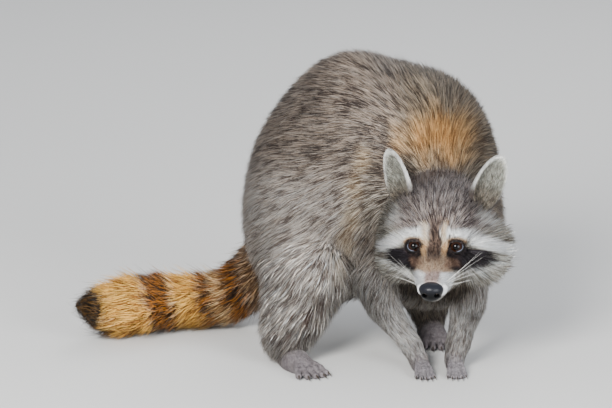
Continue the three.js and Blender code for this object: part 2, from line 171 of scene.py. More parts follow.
def round_cone(points, a, b, radius_a, radius_b):
    a = np.asarray(a, float)
    axis = np.asarray(b, float) - a
    t = np.clip((points - a) @ axis / (axis @ axis), 0, 1)
    away = np.linalg.norm(points - a - t[:, None] * axis, axis=1)
    return away - (radius_a + (radius_b - radius_a) * t)


def ellipsoid(points, centre, half, heading=0):
    along, across, up = half
    turn = math.radians(heading)
    axes = np.array(
        [
            [math.sin(turn), -math.cos(turn), 0],
            [math.cos(turn), math.sin(turn), 0],
            [0, 0, 1],
        ]
    )
    size = np.array([along, across, up], float)
    local = (points - np.asarray(centre, float)) @ axes.T / size
    k0 = np.linalg.norm(local, axis=1)
    k1 = np.linalg.norm(local / size, axis=1)
    return k0 * (k0 - 1) / np.maximum(k1, 1e-9)


def chain(points, joints, inset, blend=8):
    """Round cones through joints. inset is 0 on the coat's outline and 1 on the skin."""
    bones = [
        round_cone(points, a[:3], b[:3], a[3] - inset * a[4], b[3] - inset * b[4])
        for a, b in zip(joints, joints[1:])
    ]
    return blended(blend, *bones)


def near(points, places, margin, make):
    """make(points) close to the places, and a large distance elsewhere."""
    low = np.min(places, axis=0) - margin
    high = np.max(places, axis=0) + margin
    close = np.all((points > low) & (points < high), axis=1)
    distance = np.full(len(points), 1000.0)
    if close.any():
        distance[close] = make(points[close])
    return distance


def reach_of(joints):
    """Corners of the box that a chain fills."""
    joints = np.asarray(joints, float)
    return np.vstack([joints[:, :3] - joints[:, 3:4], joints[:, :3] + joints[:, 3:4]])


def trunk_form(points, inset):
    ribs = [
        ellipsoid(points, centre, np.array(half) - inset * TRUNK_COAT, heading)
        for centre, half, heading in TRUNK
    ]
    return smooth_min(blended(30, *ribs), chain(points, NECK, inset), 26)


def digit_places(foot):
    """For each toe: its root on the ball of the foot, its heading, its reach and its thickness."""
    kind, palm, heading, side = foot
    turn = math.radians(heading)
    ahead = np.array([math.sin(turn), -math.cos(turn), 0])
    sideways = np.array([math.cos(turn), math.sin(turn), 0])
    ball = np.array(palm, float) + ahead * kind["length"] * 0.36
    places = []
    for spread, reach in zip(DIGIT_SPREAD, DIGIT_REACH):
        angle = turn + math.radians(spread * kind["fan"]) * side
        toward = np.array([math.sin(angle), -math.cos(angle), 0])
        root = ball + sideways * spread * side * kind["width"] * 0.34
        places.append((root, toward, kind["digit"] * reach, kind["thick"]))
    return places


def toe_station(place, t, height, radius):
    root, toward, reach, thick = place
    point = root + toward * reach * t
    return (point[0], point[1], thick * height, thick * radius, 0)


def foot_form(points, foot, inset):
    kind, palm, heading, _side = foot
    half = np.array([kind["length"] / 2, kind["width"] / 2, kind["height"]]) - inset * FOOT_COAT
    form = ellipsoid(points, palm, half, heading)
    for place in digit_places(foot):
        knuckle = kind["knuckle"]
        toe = [
            toe_station(place, -0.3, knuckle, 0.85),
            toe_station(place, 0.1, knuckle * 0.94, 0.68),
            toe_station(place, 0.46, knuckle * 0.5 + 0.5, 0.74),
            toe_station(place, 0.72, knuckle * 0.2 + 0.65, 0.6),
            toe_station(place, 0.95, 0.78, 0.7),
        ]
        form = smooth_min(form, chain(points, toe, 0, 1.5), 1.2)
    return form


def leg_form(points, name, inset):
    joints, foot = LEGS[name], FEET[name]
    leg = near(points, reach_of(joints), 30, lambda p: chain(p, joints, inset))
    palm = np.array(foot[1], float)
    paw = near(points, [palm - 45, palm + 45], 8, lambda p: foot_form(p, foot, inset))
    return smooth_min(leg, paw, 8)


def ear_turn(side):
    """Rotation whose columns are across the ear's cup, behind it, and along it to the tip."""
    rise = Vector(EAR_TIP[side] - EAR_BASE[side]).normalized()
    stand = Vector((0, 0, 1)).rotation_difference(rise).to_matrix()
    return np.array(stand @ Matrix.Rotation(math.radians(side * EAR_FACING[side]), 3, "Z"))


def ear_local(head_points, side):
    middle = EAR_BASE[side] + (EAR_TIP[side] - EAR_BASE[side]) * EAR_MIDDLE
    return (head_points - middle) @ ear_turn(side)


def ear_half(side):
    """From the ear's widest place to its tip."""
    return float(np.linalg.norm(EAR_TIP[side] - EAR_BASE[side])) * (1 - EAR_MIDDLE)


def ear_cup(local, side, inset):
    """The hollow of the ear, which starts above its base."""
    start = 9
    half = (EAR_THICKNESS / 2 + inset * 0.4, EAR_WIDTH / 2 - EAR_WALL, ear_half(side) - start - EAR_WALL)
    return ellipsoid(local, (0, -EAR_WALL, start), half)


def ear_form(head_points, side, inset):
    local = ear_local(head_points, side)
    outer = np.array([EAR_THICKNESS / 2, EAR_WIDTH / 2, ear_half(side)]) - inset * 0.9
    rooted = local.copy()
    rooted[:, 2] /= np.where(local[:, 2] < 0, EAR_ROOT, 1)
    shell = ellipsoid(rooted, (0, 0, 0), outer)
    return -smooth_min(-shell, ear_cup(local, side, inset), 2)


def nose_form(q):
    """The pad of the nose without its nostrils."""
    return smooth_min(
        ellipsoid(q, (0, -55.5, -31), (10.5, 12.6, 7.6)), ellipsoid(q, (0, -54, -36.5), (10, 10.5, 7)), 4
    )


def mouth_form(q):
    """The slit between the lips."""
    return ellipsoid(q, (0, -36, -41.5), (17, 17, 1.3))


def skull_form(q, inset):
    """The head in its own frame, with the folds of the face where it is the skin."""
    bones = [ellipsoid(q, centre, np.array(half) - inset * coat) for centre, half, coat in SKULL]
    form = blended(15, *bones, chain(q, FACE, inset), chain(q, MUZZLE, inset), chain(q, JAW, inset))
    brows = np.minimum(*[ellipsoid(q, (side * 23, 6, 14), np.array([15, 9, 6.5]) - inset * 1.5) for side in SIDES])
    form = smooth_min(form, brows, 8)
    hollows = np.minimum(*[round_cone(q, (side * 26, -14, 0), (side * 42, -13, -4), 8, 3.5) for side in SIDES])
    form = -smooth_min(-form, hollows, 8)
    if inset == 0:
        return form
    lips = np.minimum(*[ellipsoid(q, (side * 7, -40, -34), (13, 8, 7.5)) for side in SIDES])
    form = smooth_min(form, lips, 4)
    form = -smooth_min(-form, mouth_form(q), 2)
    eyes = [eye_distance(q, side) for side in SIDES]
    lids = np.minimum(*eyes) - (EYE_RADIUS + 1.1)
    form = smooth_min(form, lids, 5)
    openings = np.minimum(*[opening_field(q, side) for side in SIDES])
    form = -smooth_min(-form, openings, 1.5)
    sockets = np.minimum(*eyes) - (EYE_RADIUS + 0.2)
    return np.maximum(form, -sockets)


def eye_centre(side):
    return np.array([side * EYE_SPACING / 2, EYE_DEPTH, 0])


def eye_distance(q, side):
    return np.linalg.norm(q - eye_centre(side), axis=1)


GAZE = np.array([0.06, -0.97, 0.22])  # the eyes look at the viewer, a little above
LID_WIDTH, LID_HEIGHT = 7.5, 5.5  # half sizes of the opening between the lids
LID_TURN = [math.asin(half / EYE_RADIUS * 0.95) for half in (LID_WIDTH, LID_HEIGHT)]


def unit(vectors):
    return vectors / np.maximum(np.linalg.norm(vectors, axis=-1, keepdims=True), 1e-9)


def gaze_axes():
    ahead = unit(GAZE)
    right = unit(np.cross(ahead, (0, 0, 1)))
    return ahead, right, np.cross(right, ahead)


def opening_field(q, side):
    local = q - eye_centre(side)
    across = np.sqrt((local[:, 0] / LID_WIDTH) ** 2 + (local[:, 2] / LID_HEIGHT) ** 2)
    return np.maximum((across - 1) * LID_HEIGHT, local[:, 1] + 2)


def lid_gap(q, side):
    """Angle from the opening between the lids, in radians, as seen from the middle of the eye."""
    local = unit(q - eye_centre(side))
    ahead, right, up = gaze_axes()
    turn = np.arccos(np.clip(local @ ahead, -1, 1))
    sideways, upward = local @ right, local @ up
    flat = np.maximum(np.hypot(sideways, upward), 1e-6)
    return turn - 1 / np.hypot(sideways / flat / LID_TURN[0], upward / flat / LID_TURN[1])


def head_form(points, inset):
    q = to_head(points)
    ears = np.minimum(*[ear_form(q, side, inset) for side in SIDES])
    return skull_form(q, inset), ears


HEAD_BOX = from_head([(-70, -75, -62), (90, 80, 95)])


def whole_form(points, inset):
    """The whole animal: the coat's outline where inset is 0, the skin where it is 1."""
    form = trunk_form(points, inset)
    form = smooth_min(form, near(points, HEAD_BOX, 25, lambda p: head_form(p, inset)[0]), 18)
    knit = np.interp(points[:, 2], [22, 80], [0.5, 12])  # the feet stand apart
    for name in LEGS:
        form = smooth_min(form, leg_form(points, name, inset), knit)
    form = smooth_min(form, near(points, reach_of(TAIL), 20, lambda p: chain(p, TAIL, inset)), 14)
    ears = near(points, HEAD_BOX, 10, lambda p: head_form(p, inset)[1])
    form = smooth_min(form, ears, 3)
    return np.maximum(form, 0.2 - points[:, 2])


def slope(field, points, step=0.25):
    """Gradient of a field at the points."""
    columns = []
    for axis in range(3):
        shift = np.zeros(3)
        shift[axis] = step
        columns.append((field(points + shift) - field(points - shift)) / (2 * step))
    return np.stack(columns, axis=1)


# ---- Surface of a field on a lattice that is finer around the head and the feet -------------------------
def stepped(stops):
    """Lattice places from stops of (place, step up to the next stop)."""
    places = []
    for (start, step), (end, _) in zip(stops, stops[1:]):
        count = max(1, round((end - start) / step))
        places.extend(np.linspace(start, end, count, endpoint=False))
    return np.array(places + [stops[-1][0]])


def surface_net(field, xs, ys, zs):
    """Quads where the field is zero, with one vertex in each lattice cell that the surface crosses."""
    shape = (len(xs), len(ys), len(zs))
    value = np.empty(shape, np.float32)
    for i, x in enumerate(xs):
        slab = np.stack(np.meshgrid([x], ys, zs, indexing="ij"), axis=-1).reshape(-1, 3)
        value[i] = field(slab).reshape(shape[1:])
    inside = value < 0
    corners = [(c & 1, (c >> 1) & 1, c >> 2) for c in range(8)]

    def cells(array, corner):
        return array[tuple(slice(o, n - 1 + o) for o, n in zip(corner, shape))]

    count = sum(cells(inside, corner).astype(np.int8) for corner in corners)
    active = np.argwhere((count > 0) & (count < 8))
    axes = (xs, ys, zs)
    at_corner = [active + corner for corner in corners]
    values = [value[tuple(c.T)] for c in at_corner]
    places = [np.stack([axis[c[:, n]] for n, axis in enumerate(axes)], axis=1) for c in at_corner]
    total = np.zeros((len(active), 3))
    crossings = np.zeros(len(active))
    for a in range(8):
        for b in range(a + 1, 8):
            if bin(a ^ b).count("1") != 1:
                continue
            cut = (values[a] < 0) != (values[b] < 0)
            t = values[a][cut] / (values[a][cut] - values[b][cut])
            total[cut] += places[a][cut] + (places[b][cut] - places[a][cut]) * t[:, None]
            crossings[cut] += 1
    vertices = total / crossings[:, None]
    index = np.full(shape, -1, np.int64)
    index[tuple(active.T)] = np.arange(len(active))
    quads = []
    for axis in range(3):
        near_end = inside[tuple(slice(0, n - (d == axis)) for d, n in enumerate(shape))]
        far_end = inside[tuple(slice(int(d == axis), n) for d, n in enumerate(shape))]
        edges = np.argwhere(near_end != far_end)
        u, v = (axis + 1) % 3, (axis + 2) % 3
        edges = edges[(edges[:, u] > 0) & (edges[:, v] > 0)]
        ring = []
        for du, dv in ((1, 1), (0, 1), (0, 0), (1, 0)):
            corner = edges.copy()
            corner[:, u] -= du
            corner[:, v] -= dv
            ring.append(index[tuple(corner.T)])
        ring = np.stack(ring, axis=1)
        outward = near_end[tuple(edges.T)]
        ring[~outward] = ring[~outward][:, ::-1]
        quads.append(ring)
    return vertices, np.concatenate(quads)


def settled(field, vertices, most, rounds=2):
    """Vertices walked onto the surface, each by no more than most."""
    for _ in range(rounds):
        grade = slope(field, vertices)
        walk = grade * (field(vertices) / np.maximum((grade**2).sum(1), 0.2))[:, None]
        size = np.linalg.norm(walk, axis=1, keepdims=True)
        vertices = vertices - walk * np.minimum(1, most / np.maximum(size, 1e-9))
    return vertices


# ---- The lie of the coat --------------------------------------------------------------------------------
# Places on the trunk and neck, and the way that the hair runs there.
LIE = [
    ((0, 20, 215), (-0.15, 0.8, 0.6)),
    ((-45, 15, 215), (-0.75, 0.5, 0.15)),
    ((-20, 90, 300), (-0.8, 0.55, 0.1)),
    ((40, 90, 270), (-0.3, 0.9, 0.0)),
    ((-60, 30, 265), (-0.95, 0.2, -0.1)),
    ((-110, 30, 245), (-0.96, 0.1, -0.22)),
    ((-100, 10, 200), (-0.9, 0.0, -0.38)),
    ((-170, 40, 190), (-0.93, 0.1, -0.36)),
    ((-85, 10, 150), (-0.72, 0.0, -0.66)),
    ((-165, 30, 130), (-0.8, 0.0, -0.6)),
    ((-85, 10, 110), (-0.4, 0.0, -0.85)),
    ((-145, 10, 85), (-0.62, 0.0, -0.75)),
    ((-112, 20, 85), (-0.12, 0.0, -1)),
    ((-170, 20, 45), (-0.62, 0.0, -0.72)),
    ((-205, 90, 180), (-0.45, 0.3, -0.8)),
    ((-90, 110, 310), (-1, 0.1, 0.0)),
    ((-160, 150, 220), (-0.6, 0.3, -0.7)),
    ((-60, 190, 230), (-0.8, 0.0, -0.5)),
    ((-40, 190, 150), (-0.5, 0.0, -0.85)),
    ((60, 100, 210), (-0.2, 0.75, -0.55)),
    ((60, 60, 150), (0.0, 0.5, -0.85)),
    ((0, 10, 95), (0.0, 0.3, -1)),
    ((-70, 80, 80), (-0.9, 0.0, -0.2)),
    ((-60, -5, 165), (-0.8, 0.3, -0.35)),
    ((-50, 10, 120), (-0.45, 0.2, -0.85)),
    ((60, 10, 150), (0.6, 0.6, -0.5)),
]
LIE_REACH = 34
SNOUT = np.array([0.0, -58.0, -24.0])  # hair on the head runs away from here


def smooth(x, low, high):
    t = np.clip((x - low) / (high - low), 0, 1)
    return t * t * (3 - 2 * t)


def trunk_lie(points):
    total = np.zeros_like(points)
    for place, way in LIE:
        away = np.linalg.norm(points - np.array(place, float), axis=1)
        total += np.exp(-((away / LIE_REACH) ** 2) / 2 + 3)[:, None] * unit(np.array(way, float))
        total += 1e-4 * unit(np.array(way, float)) / (away[:, None] + 1)
    return unit(total)


def chain_lie(points, joints):
    """The way that a chain runs, beside each point, and how far along it the point is."""
    nearest = np.full(len(points), 1e9)
    station = np.zeros(len(points))
    total = np.zeros_like(points)
    for number, (a, b) in enumerate(zip(joints, joints[1:])):
        start = np.array(a[:3], float)
        axis = np.array(b[:3], float) - start
        t = np.clip((points - start) @ axis / (axis @ axis), 0, 1)
        away = np.linalg.norm(points - start - t[:, None] * axis, axis=1) - (a[3] + (b[3] - a[3]) * t)
        total += np.exp(-np.clip(away, -80, 80) / 9)[:, None] * unit(axis)
        closer = away < nearest
        station[closer] = number + t[closer]
        nearest = np.minimum(nearest, away)
    return unit(total), station


def head_lie(points):
    """Away from the snout, outward over the front of the cheeks and then back and down to the ruffs."""
    q = to_head(points)
    side = np.sign(q[:, 0])
    across = np.abs(q[:, 0])
    front = smooth(across, 18, 38) * (1 - smooth(q[:, 1], 8, 34))
    back = smooth(across, 22, 60) * smooth(-q[:, 2], -30, 15) * smooth(q[:, 1], 2, 28)
    way = unit(q - SNOUT)
    way[:, 0] += side * (front * 0.9 + back * 0.1)
    way[:, 1] += back * 0.7 - front * 0.1
    way[:, 2] -= back * 0.35
    return unit(way) @ HEAD_TURN.T


def ear_lie(points):
    """Along the ear to its tip, and outward from the middle of the cup."""
    q = to_head(points)
    ways = np.zeros_like(points)
    for side in SIDES:
        own = np.sign(q[:, 0]) == side
        local = ear_local(q[own], side)
        spread = np.stack([local[:, 0] * 0.02, np.zeros(len(local)), np.ones(len(local))], 1)
        ways[own] = spread @ ear_turn(side).T @ HEAD_TURN.T
    return ways


def foot_lie(name):
    turn = math.radians(FEET[name][2])
    way = np.array([math.sin(turn), -math.cos(turn), -0.25])
    return lambda points: np.tile(way, (len(points), 1))


def region_fields(points):
    """Distance to the skin of each region of the animal."""
    skull, ears = head_form(points, 1)
    fields = {"trunk": trunk_form(points, 1), "head": skull, "ears": ears, "tail": chain(points, TAIL, 1)}
    for name in LEGS:
        fields[name] = chain(points, LEGS[name], 1)
        fields[name + "_foot"] = foot_form(points, FEET[name], 1)
    return fields


def region_weights(points):
    fields = region_fields(points)
    names = list(fields)
    stack = np.stack([fields[name] for name in names])
    weight = np.exp(-np.clip((stack - stack.min(0)) / 5, 0, 60))
    weight[names.index("ears")] = np.where(stack[names.index("ears")] < 1.2, 20.0, 0.0)
    return names, weight / weight.sum(0)


LIES = {
    "trunk": trunk_lie,
    "head": head_lie,
    "ears": ear_lie,
    "tail": lambda p: chain_lie(p, TAIL)[0],
}
for leg_name in LEGS:
    LIES[leg_name] = lambda p, joints=LEGS[leg_name]: chain_lie(p, joints)[0]
    LIES[leg_name + "_foot"] = foot_lie(leg_name)
LIES["hindleg_right"] = trunk_lie


def waves(points, size, seed):
    """Smooth noise of about -1 to 1, in patches about size millimetres across."""
    rng = np.random.default_rng(seed)
    total = np.zeros(len(points))
    for _ in range(7):
        way = unit(rng.normal(size=3)) * 2 * math.pi / (size * rng.uniform(1.2, 3.2))
        total += np.sin(points @ way + rng.uniform(0, 2 * math.pi))
    return total / 2.6


# ---- Markings and painted shade, the same for the skin and the coat ------------------------------------
def srgb(red, green, blue):
    tone = np.array([red, green, blue], float) / 255
    return np.where(tone <= 0.04045, tone / 12.92, ((tone + 0.055) / 1.055) ** 2.4)


class Pelage:
    """At each point: the pale and the dark colour of its hairs, and the share of pale ones."""

    def __init__(self, count, pale, dark, share):
        self.pale = np.tile(srgb(*pale), (count, 1))
        self.dark = np.tile(srgb(*dark), (count, 1))
        self.share = np.full(count, float(share))

    def paint(self, mask, pale, dark, share):
        mask = np.clip(mask, 0, 1)
        self.pale += mask[:, None] * (srgb(*pale) - self.pale)
        self.dark += mask[:, None] * (srgb(*dark) - self.dark)
        self.share += mask * (share - self.share)


def band(x, low, high, soft):
    """1 between low and high, falling to 0 over soft on both sides."""
    return smooth(x, low - soft, low + soft) * (1 - smooth(x, high - soft, high + soft))


def line_gap(x, z, stops):
    """Height of z above a line through stops of (x, z, half thickness), as a share of that thickness."""
    stops = np.array(stops, float)
    middle = np.interp(x, stops[:, 0], stops[:, 1])
    half = np.interp(x, stops[:, 0], stops[:, 2])
    return (z - middle) / half


# Bands of the face, as stops of (distance from the midline, height, half thickness).
BROW_LINE = [(6, 16, 6), (15, 13, 5), (31, 12.5, 6.5), (48, 5, 7), (64, -1, 6), (80, -5, 5)]
MASK_LINE = [(12, -14, 8), (22, -13, 13), (30, -12.5, 12), (40, -12.5, 11), (50, -11, 8), (57, -10, 5)]


def paint_head(coat, q, on_head):
    across = np.abs(q[:, 0] - 0.17 * np.clip(q[:, 1], 0, 34))
    across += np.where(q[:, 0] < 0, 0.22, 0) * np.maximum(across - 26, 0)  # the right cheek is the shorter one
    height = q[:, 2] + 0.25 * q[:, 1]  # the bands rise towards the back of the head
    wobble = waves(q, 9, 21) * 1.2
    across_w, height_w = across + wobble, height + wobble
    front = on_head * (1 - smooth(q[:, 1], 26, 52))
    coat.paint(on_head, (206, 203, 192), (88, 78, 68), 0.53)  # ruffs
    coat.paint(on_head * smooth(height, 12, 24) * (1 - smooth(across, 42, 60)), (206, 194, 188), (74, 60, 60), 0.52)
    coat.paint(front * band(across_w, -1, 40, 8) * band(height_w, 18, 50, 5), (206, 194, 186), (54, 42, 44), 0.44)
    muzzle_top = band(across_w, -1, 20, 3) * band(height_w, -29, -9, 4)
    coat.paint(front * muzzle_top, (212, 186, 158), (134, 106, 84), 0.66)
    near_nose = band(across_w, -1, 9, 2.5) * band(height_w, -60, -26, 3)
    coat.paint(front * near_nose, (206, 186, 178), (132, 110, 104), 0.6)
    brow = line_gap(across_w, height, BROW_LINE)
    brow_front = on_head * (1 - smooth(q[:, 1], 40, 64))
    coat.paint(brow_front * band(brow, -1.0, 1.0, 0.25) * band(across_w, 5, 71, 3), (253, 254, 252), (192, 194, 196), 0.92)
    mask = line_gap(across_w, height, MASK_LINE)
    rim = band(mask, -1.7, -0.9, 0.3) * band(across_w, 26, 66, 4)
    coat.paint(front * rim, (240, 242, 238), (168, 166, 158), 0.85)  # white under the mask
    coat.paint(front * band(mask, -0.95, 0.95, 0.16) * band(across_w, 17, 56, 2.5), (60, 53, 62), (17, 14, 20), 0.25)
    eye_gap = np.hypot((np.abs(q[:, 0]) - EYE_SPACING / 2) / 10.5, (q[:, 2] - 0.5) / 9.5)
    lid_edge = (1 - smooth(eye_gap, 1.1, 1.35)) * smooth(q[:, 2], 2, 6)
    coat.paint(front * lid_edge * 0.8, (214, 178, 134), (140, 102, 66), 0.7)  # tan above the lids
    coat.paint(front * (1 - smooth(eye_gap, 0.9, 1.15)), (66, 54, 52), (20, 15, 17), 0.3)  # round the eyes
    under_eye = band(across_w, 12, 24, 2.5) * band(height_w, -22, -12, 3)
    coat.paint(front * under_eye * 0.65, (180, 142, 116), (88, 62, 50), 0.55)
    stripe = band(across_w, 7.5, 12.5, 1.5) * band(height_w, -10, 24, 3)
    coat.paint(front * stripe, (240, 226, 204), (176, 134, 88), 0.8)
    coat.paint(front * stripe * (1 - smooth(height, -2, 8)) * 0.8, (226, 180, 122), (150, 100, 56), 0.6)
    bridge = band(across_w, -9, 6.5, 1.5) * band(height_w, -13, 34, 6)
    coat.paint(front * bridge * (1 - smooth(height, 16, 36) * 0.6), (150, 124, 106), (52, 40, 38), 0.42)
    lips = band(across_w, 8, 40, 2) * band(height_w, -60, -27, 2.5) * (1 - smooth(q[:, 1], -20, -4))
    coat.paint(front * lips, (253, 254, 254), (212, 214, 216), 0.94)
    chin = smooth(-q[:, 2], 38, 44) * (1 - smooth(q[:, 1], 0, 20))
    coat.paint(front * chin, (206, 202, 196), (112, 104, 98), 0.6)
    coat.paint(front * (1 - smooth(mouth_form(q), 0.4, 1.6)), (34, 28, 30), (14, 11, 12), 0.3)
    for side in SIDES:
        ear_foot = EAR_BASE[side] + np.array([side * 9, -12, -9])
        tuft = np.linalg.norm(q - ear_foot, axis=1) + wobble * 2
        coat.paint(on_head * (1 - smooth(tuft, 7, 17)) * 0.85, (244, 243, 238), (150, 144, 136), 0.75)
        notch = np.linalg.norm(q - EAR_BASE[side] - np.array([side * -15, -2, 6]), axis=1) + wobble
        coat.paint(on_head * (1 - smooth(notch, 5, 12)) * 0.7, (104, 90, 92), (34, 28, 32), 0.35)
    tear = round_cone(q, (EYE_SPACING / 2, -4, -6), (12, -12, -11), 4, 2)
    tear = np.minimum(tear, round_cone(q, (-EYE_SPACING / 2, -4, -6), (-12, -12, -11), 4, 2))
    coat.paint(front * (1 - smooth(tear, 0, 5)) * 0.8, (72, 58, 54), (24, 18, 20), 0.3)


def paint_ears(coat, q, on_ears):
    cup = np.zeros(len(q))
    rim = np.zeros(len(q))
    low = np.zeros(len(q))
    for side in SIDES:
        own = q[:, 0] * side > 0
        local = ear_local(q, side)
        edge = np.hypot(local[:, 0] / (EAR_WIDTH / 2), local[:, 2] / ear_half(side))
        cup = np.maximum(cup, own * (1 - smooth(ear_cup(local, side, 0), -0.5, 2)))
        rim = np.maximum(rim, own * smooth(edge, 0.8, 0.94) * smooth(local[:, 2], -8, 8))
        low = np.maximum(low, own * (1 - smooth(local[:, 2], -4, 14)))
    coat.paint(on_ears, (120, 110, 104), (56, 48, 46), 0.45)
    coat.paint(on_ears * cup, (216, 218, 204), (72, 68, 60), 0.52)
    # the cup darker near the ear's base: painted shade deep in the hollow
    coat.paint(on_ears * cup * low, (160, 148, 130), (52, 44, 40), 0.45)
    coat.paint(on_ears * rim, (244, 244, 240), (186, 184, 178), 0.86)


# Rings of the tail: places along X, with the pale, the dark and the share of pale hairs of each.
TAIL_TAN = ((234, 182, 90), (140, 92, 34), 0.65)
TAIL_DARK = ((160, 98, 24), (44, 28, 12), 0.47)
TAIL_RINGS = [
    (-420, -350, (82, 56, 20), (20, 15, 10), 0.34),
    (-350, -305, *TAIL_TAN),
    (-305, -279, *TAIL_DARK),
    (-279, -249, *TAIL_TAN),
    (-249, -236, *TAIL_DARK),
    (-236, -221, (214, 176, 120), (134, 98, 56), 0.64),
    (-221, -199, *TAIL_DARK),
    (-199, -150, (160, 126, 88), (76, 54, 34), 0.5),
]


BODY_SHADE = 0.89  # the body's hair is duller than the face's


def blot(coat, points, centre, half, soft, share, pale, dark, pale_share):
    """A soft-edged patch in the shape of an ellipsoid: markings in most places, painted shade under the head and
    between the forelegs.
    """
    gap = ellipsoid(points, centre, half) + waves(points, 14, 32) * soft * 0.35
    coat.paint((1 - smooth(gap, -soft, soft)) * share, pale, dark, pale_share)


def pelage(points, names, weight):
    """Markings, and painted shade in places, at the points, which lie on the regions named, by weight."""
    on = dict(zip(names, weight))
    x, _, z = points.T
    q = to_head(points)
    coat = Pelage(len(points), (198, 182, 166), (46, 34, 32), 0.47)
    coat.paint(smooth(-z, -235, -165) * smooth(-x, 60, 110), (232, 224, 214), (88, 70, 62), 0.58)  # flanks
    coat.paint(smooth(-z, -120, -70) * 0.7, (220, 214, 204), (80, 66, 58), 0.54)  # below the flanks
    coat.paint(smooth(x, -60, -20) * smooth(z, 110, 200) * 0.6, (178, 160, 130), (58, 46, 36), 0.46)  # shoulders
    blot(coat, points, (6, 36, 238), (54, 50, 28), 14, 0.9, (228, 188, 134), (112, 82, 54), 0.57)
    blot(coat, points, (12, 34, 240), (30, 34, 18), 12, 0.75, (230, 170, 96), (132, 86, 42), 0.62)
    streak = round_cone(points, (-78, 14, 232), (-104, 14, 94), 7, 7) + waves(points, 14, 33) * 3
    coat.paint((1 - smooth(streak, -5, 6)) * 0.6, (224, 204, 168), (136, 108, 76), 0.7)
    # a dark line down the crease between the right shoulder and the trunk: painted shade
    groove = round_cone(points, (-64, 14, 226), (-84, 14, 100), 5, 5) + waves(points, 14, 34) * 3
    coat.paint((1 - smooth(groove, -4, 5)) * 0.55, (140, 120, 98), (50, 40, 34), 0.4)
    blot(coat, points, (-70, -6, 172), (26, 36, 46), 12, 0.5, (222, 216, 200), (84, 70, 58), 0.54)
    blot(coat, points, (58, -10, 120), (26, 44, 40), 10, 0.7, (216, 216, 206), (112, 104, 94), 0.6)
    # painted shade under the chin and the right cheek
    blot(coat, points, (-34, 0, 112), (30, 34, 30), 10, 0.8, (150, 142, 124), (50, 42, 34), 0.42)
    thigh = np.maximum(on["hindleg_right"], on["hindleg_left"])
    coat.paint(thigh * 0.7, (226, 220, 212), (76, 60, 54), 0.54)
    foreleg = np.maximum(on["foreleg_right"], on["foreleg_left"])
    coat.paint(foreleg * 0.9, (228, 226, 222), (96, 84, 78), 0.6)
    # more painted shade below the right cheek, over the top of the right foreleg
    blot(coat, points, (-52, 2, 104), (20, 34, 20), 8, 0.75, (150, 142, 124), (50, 42, 34), 0.42)
    # the chest between the forelegs darker: its own darker brown hair, deepened with painted shade between the legs
    blot(coat, points, (-4, 20, 92), (30, 44, 30), 9, 0.85, (120, 106, 88), (46, 38, 32), 0.42)
    # the left hind leg, under the belly and seen between the forelegs, darker: painted shade
    hind_left_in_shade = on["hindleg_left"] + on["hindleg_left_foot"]
    coat.paint(hind_left_in_shade * (1 - smooth(points[:, 1], 150, 170)) * 0.8, (140, 126, 106), (52, 42, 36), 0.45)
    feet = sum(on[name + "_foot"] for name in LEGS)
    coat.paint(feet * 0.85, (150, 144, 148), (104, 97, 102), 0.5)
    forefeet = on["foreleg_right_foot"] + on["foreleg_left_foot"]
    coat.paint(forefeet * 0.6, (182, 179, 182), (114, 109, 114), 0.5)
    slant = x + (z - 30) * 0.25 + waves(points, 12, 35) * 2.5
    for low, high, pale, dark, share in TAIL_RINGS:
        coat.paint(on["tail"] * band(slant, low, high, 4), pale, dark, share)
    # the tail darker underneath, towards the floor it lies on: painted shade
    coat.paint(on["tail"] * smooth(-z, -24, 2) * 0.5, (124, 92, 52), (48, 36, 24), 0.35)
    coat.pale *= BODY_SHADE
    coat.dark *= BODY_SHADE
    paint_head(coat, q, on["head"])
    paint_ears(coat, q, on["ears"])
    coat.share = np.clip(coat.share + waves(points, 45, 31) * 0.07, 0.05, 0.95)
    return coat


# ---- Meshes ---------------------------------------------------------------------------------------------
def mesh_object(name, points, faces, smooth_shaded=True):
    mesh = bpy.data.meshes.new(name)
    faces = np.asarray(faces, np.int32)
    corners = faces.shape[1]
    mesh.vertices.add(len(points))
    mesh.vertices.foreach_set("co", to_frame_m(points).astype(np.float32).ravel())
    mesh.loops.add(faces.size)
    mesh.loops.foreach_set("vertex_index", faces.ravel())
    mesh.polygons.add(len(faces))
    mesh.polygons.foreach_set("loop_start", np.arange(0, faces.size, corners, dtype=np.int32))
    mesh.polygons.foreach_set("use_smooth", np.full(len(faces), smooth_shaded))
    mesh.update(calc_edges=True)
    obj = bpy.data.objects.new(name, mesh)
    bpy.context.scene.collection.objects.link(obj)
    return obj


def tint(obj, colours):
    """Vertex colours, named Pelage: on the skin and coat the markings and their painted shade, on the eyes and nose
    their own colours and painted reflections.
    """
    attribute = obj.data.color_attributes.new("Pelage", "FLOAT_COLOR", "POINT")
    attribute.data.foreach_set("color", np.column_stack([colours, np.ones(len(colours))]).astype(np.float32).ravel())


def bake_map(obj, uv):
    layer = obj.data.uv_layers.new(name="OFBake")
    loops = np.empty(len(obj.data.loops), np.int32)
    obj.data.loops.foreach_get("vertex_index", loops)
    layer.data.foreach_set("uv", uv[loops].astype(np.float32).ravel())


def material(name, colour=None, roughness=0.6, specular=0.5, coat=0.0, sheen=0.0):
    """A Principled material. With no colour it takes the Pelage vertex colours: markings, painted shade and painted
    reflections.
    """
    made = bpy.data.materials.new(name)
    made.use_nodes = True
    nodes, links = made.node_tree.nodes, made.node_tree.links
    shader = nodes["Principled BSDF"]
    shader.inputs["Roughness"].default_value = roughness
    shader.inputs["Specular IOR Level"].default_value = specular
    shader.inputs["Coat Weight"].default_value = coat
    shader.inputs["Coat Roughness"].default_value = 0.03
    shader.inputs["Sheen Weight"].default_value = sheen
    if colour is None:
        source = nodes.new("ShaderNodeVertexColor")
        source.layer_name = "Pelage"
        links.new(source.outputs["Color"], shader.inputs["Base Color"])
    else:
        shader.inputs["Base Color"].default_value = (*srgb(*colour), 1)
    return made


